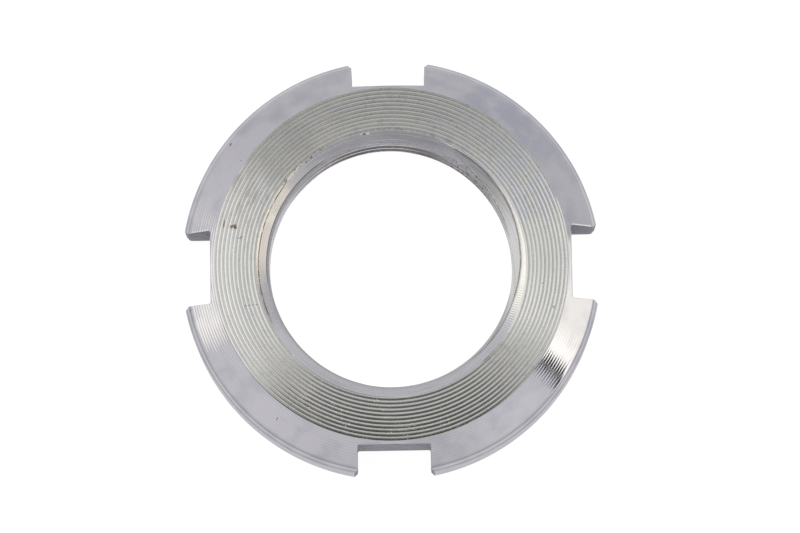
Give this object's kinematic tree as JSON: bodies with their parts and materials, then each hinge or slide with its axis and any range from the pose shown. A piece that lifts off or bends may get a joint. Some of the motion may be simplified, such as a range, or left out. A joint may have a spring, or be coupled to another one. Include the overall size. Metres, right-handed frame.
{
  "type": "bearing lock nut",
  "caption": "Slotted round lock nut that holds a rolling bearing on a shaft, with a threaded bore, a bevelled and grooved front face and spanner slots milled through its rim.",
  "frame": {"origin": "centre of the rear face, on the screw axis", "axes": "+Z along the screw axis, out of the bevelled front face; +X and +Y through the middle of a spanner slot"},
  "size_m": [0.0344, 0.0344, 0.0062],
  "materials": {
    "turned_steel": "satin, turned and milled, with a little rust"
  },
  "bodies": {
    "root": {"lock_nut": "turned_steel"}
  },
  "joints": []
}
